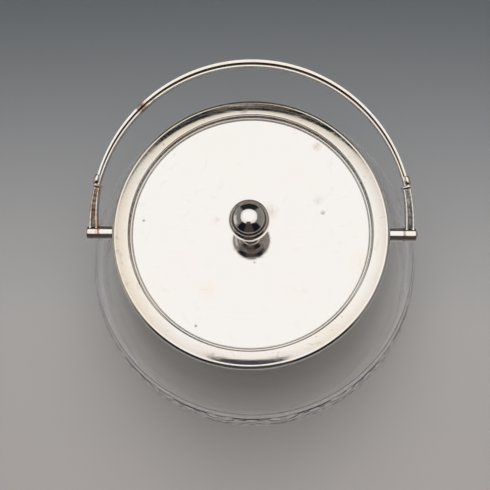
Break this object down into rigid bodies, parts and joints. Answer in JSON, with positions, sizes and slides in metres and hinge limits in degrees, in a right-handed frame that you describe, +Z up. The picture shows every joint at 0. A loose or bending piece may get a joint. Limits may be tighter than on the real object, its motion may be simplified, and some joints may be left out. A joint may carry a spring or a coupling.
{
  "type": "biscuit jar",
  "caption": "Clear glass globe jar with a plated metal collar, an inset ball-knobbed lid and a swinging bail handle.",
  "frame": {"origin": "centre of the flat ground base, on the surface that the jar stands on", "axes": "+Z up along the jar's axis, +X along the handle's pivot axis to the right, +Y to the back, where the handle leans at rest"},
  "size_m": [0.159, 0.159, 0.1558],
  "materials": {
    "clear_glass": "clear, polished, with a faint wheel-cut band",
    "plaster": "matte plaster bedding",
    "silver_plate": "polished silver plate with light wear",
    "worn_silver": "silver plate worn towards the copper beneath",
    "brass": "turned brass, dulled"
  },
  "bodies": {
    "jar": {"glass_bowl": "clear_glass", "neck_cement": "plaster", "collar_shell": "silver_plate", "lid_seat_ring": "silver_plate", "left_pivot_lug": "silver_plate", "right_pivot_lug": "silver_plate", "left_pivot_washer": "worn_silver", "right_pivot_washer": "worn_silver", "left_pivot_screw": "worn_silver", "right_pivot_screw": "silver_plate"},
    "bail": {"left_bail_terminal": "worn_silver", "right_bail_terminal": "silver_plate", "bail_bow": "silver_plate"},
    "lid": {"lid_plate": "silver_plate", "lid_edge_bead": "silver_plate", "lid_skirt": "silver_plate", "knob_ball": "silver_plate", "knob_neck": "silver_plate", "knob_stud": "brass", "knob_washer": "brass", "knob_nut": "brass"}
  },
  "joints": [
    {"name": "bail_swing", "type": "hinge", "parent": "jar", "child": "bail", "pos_m": [0, 0, 0.12516], "axis": [1, 0, 0], "range_deg": [-29, 181]},
    {"name": "lid_lift", "type": "slide", "parent": "jar", "child": "lid", "axis": [0, 0, 1], "range_m": [0, 0.06]}
  ]
}
